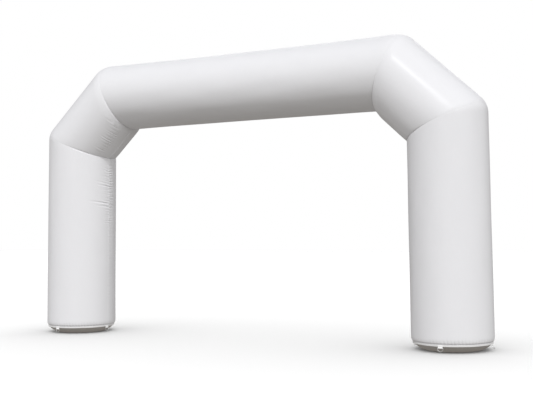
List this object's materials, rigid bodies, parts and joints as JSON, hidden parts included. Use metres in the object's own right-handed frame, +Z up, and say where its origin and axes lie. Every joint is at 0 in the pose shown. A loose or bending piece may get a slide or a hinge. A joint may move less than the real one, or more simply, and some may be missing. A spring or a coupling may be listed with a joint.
{
  "type": "inflatable arch",
  "caption": "Free-standing arch of air-filled white cloth tubes sewn at mitred corners, with domed feet, webbing bands and steel tie rings.",
  "frame": {"origin": "on the ground, midway between the two legs", "axes": "+X along the span towards the right leg, -Y towards the front, +Z up"},
  "size_m": [7.5223, 1.139, 4.465],
  "materials": {
    "tube_cloth": "white coated polyester cloth, satin",
    "base_cloth": "grey coated cloth, matt",
    "webbing": "white woven polyester webbing",
    "ring_steel": "bright plated steel wire"
  },
  "bodies": {
    "root": {"leg_left": "tube_cloth", "leg_right": "tube_cloth", "shoulder_left": "tube_cloth", "shoulder_right": "tube_cloth", "bar": "tube_cloth", "base_left": "base_cloth", "base_right": "base_cloth", "band_left": "webbing", "band_right": "webbing", "tie_tab_left_outer": "webbing", "tie_tab_left_back": "webbing", "tie_tab_left_inner": "webbing", "tie_tab_left_front": "webbing", "tie_tab_right_outer": "webbing", "tie_tab_right_back": "webbing", "tie_tab_right_inner": "webbing", "tie_tab_right_front": "webbing", "tie_ring_left_outer": "ring_steel", "tie_ring_left_back": "ring_steel", "tie_ring_left_inner": "ring_steel", "tie_ring_left_front": "ring_steel", "tie_ring_right_outer": "ring_steel", "tie_ring_right_back": "ring_steel", "tie_ring_right_inner": "ring_steel", "tie_ring_right_front": "ring_steel"}
  },
  "joints": []
}
